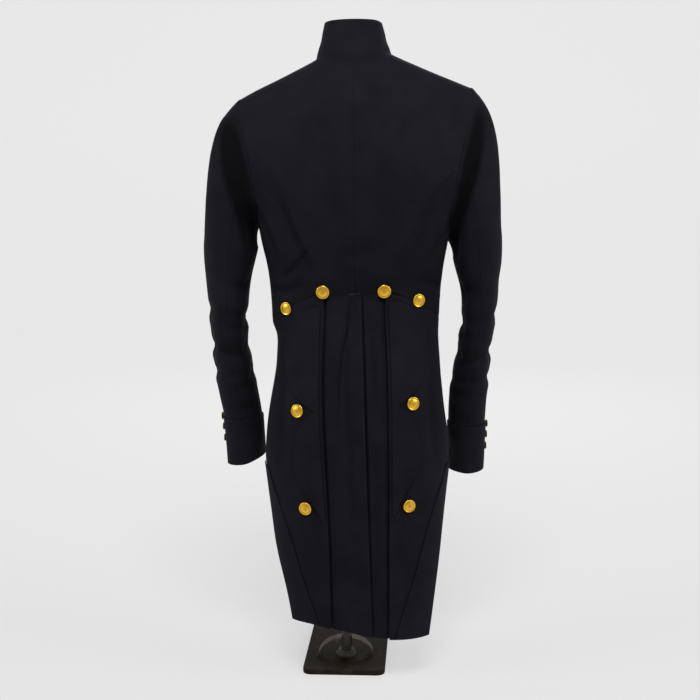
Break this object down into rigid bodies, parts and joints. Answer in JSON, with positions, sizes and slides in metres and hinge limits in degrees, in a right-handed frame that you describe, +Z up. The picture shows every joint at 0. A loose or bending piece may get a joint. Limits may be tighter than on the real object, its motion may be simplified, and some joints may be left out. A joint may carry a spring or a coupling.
{
  "type": "wool tailcoat on a dress form stand",
  "caption": "Dark wool tailcoat with a stand collar, gilt buttons, scalloped tail flaps and cuffs, worn by a limbless dress form on a post with an iron foot plate.",
  "frame": {"origin": "on the underside of the foot plate, under the post's foot", "axes": "+Z up; the coat's back faces -Y; +X towards the wearer's right"},
  "size_m": [0.5761, 0.2981, 1.265],
  "materials": {
    "coat_cloth": "very dark blue-black fulled wool with a short nap",
    "gilt": "bright gilt, slightly worn",
    "form_cover": "dark smooth jersey over a hard form",
    "dark_steel": "dull dark steel",
    "iron_plate": "dark brown lacquer, worn"
  },
  "bodies": {
    "root": {"back_left": "coat_cloth", "back_right": "coat_cloth", "brace_left": "dark_steel", "brace_right": "dark_steel", "button_cuff_left_1": "gilt", "button_cuff_left_2": "gilt", "button_cuff_left_3": "gilt", "button_cuff_right_1": "gilt", "button_cuff_right_2": "gilt", "button_cuff_right_3": "gilt", "button_flap_left_1": "gilt", "button_flap_left_2": "gilt", "button_flap_left_3": "gilt", "button_flap_right_1": "gilt", "button_flap_right_2": "gilt", "button_flap_right_3": "gilt", "button_front_1": "gilt", "button_front_2": "gilt", "button_front_3": "gilt", "button_front_4": "gilt", "button_front_5": "gilt", "button_front_6": "gilt", "button_front_7": "gilt", "button_front_8": "gilt", "button_hip_left": "gilt", "button_hip_right": "gilt", "collar": "coat_cloth", "cuff_left": "coat_cloth", "cuff_right": "coat_cloth", "flap_left": "coat_cloth", "flap_right": "coat_cloth", "form_torso": "form_cover", "front_left": "coat_cloth", "front_right": "coat_cloth", "side_left": "coat_cloth", "side_right": "coat_cloth", "skirt_left": "coat_cloth", "skirt_right": "coat_cloth", "sleeve_under_left": "coat_cloth", "sleeve_under_right": "coat_cloth", "sleeve_upper_left": "coat_cloth", "sleeve_upper_right": "coat_cloth", "stand_base": "iron_plate", "stand_flange": "dark_steel", "stand_post": "dark_steel", "turnback_left": "coat_cloth", "turnback_right": "coat_cloth"}
  },
  "joints": []
}
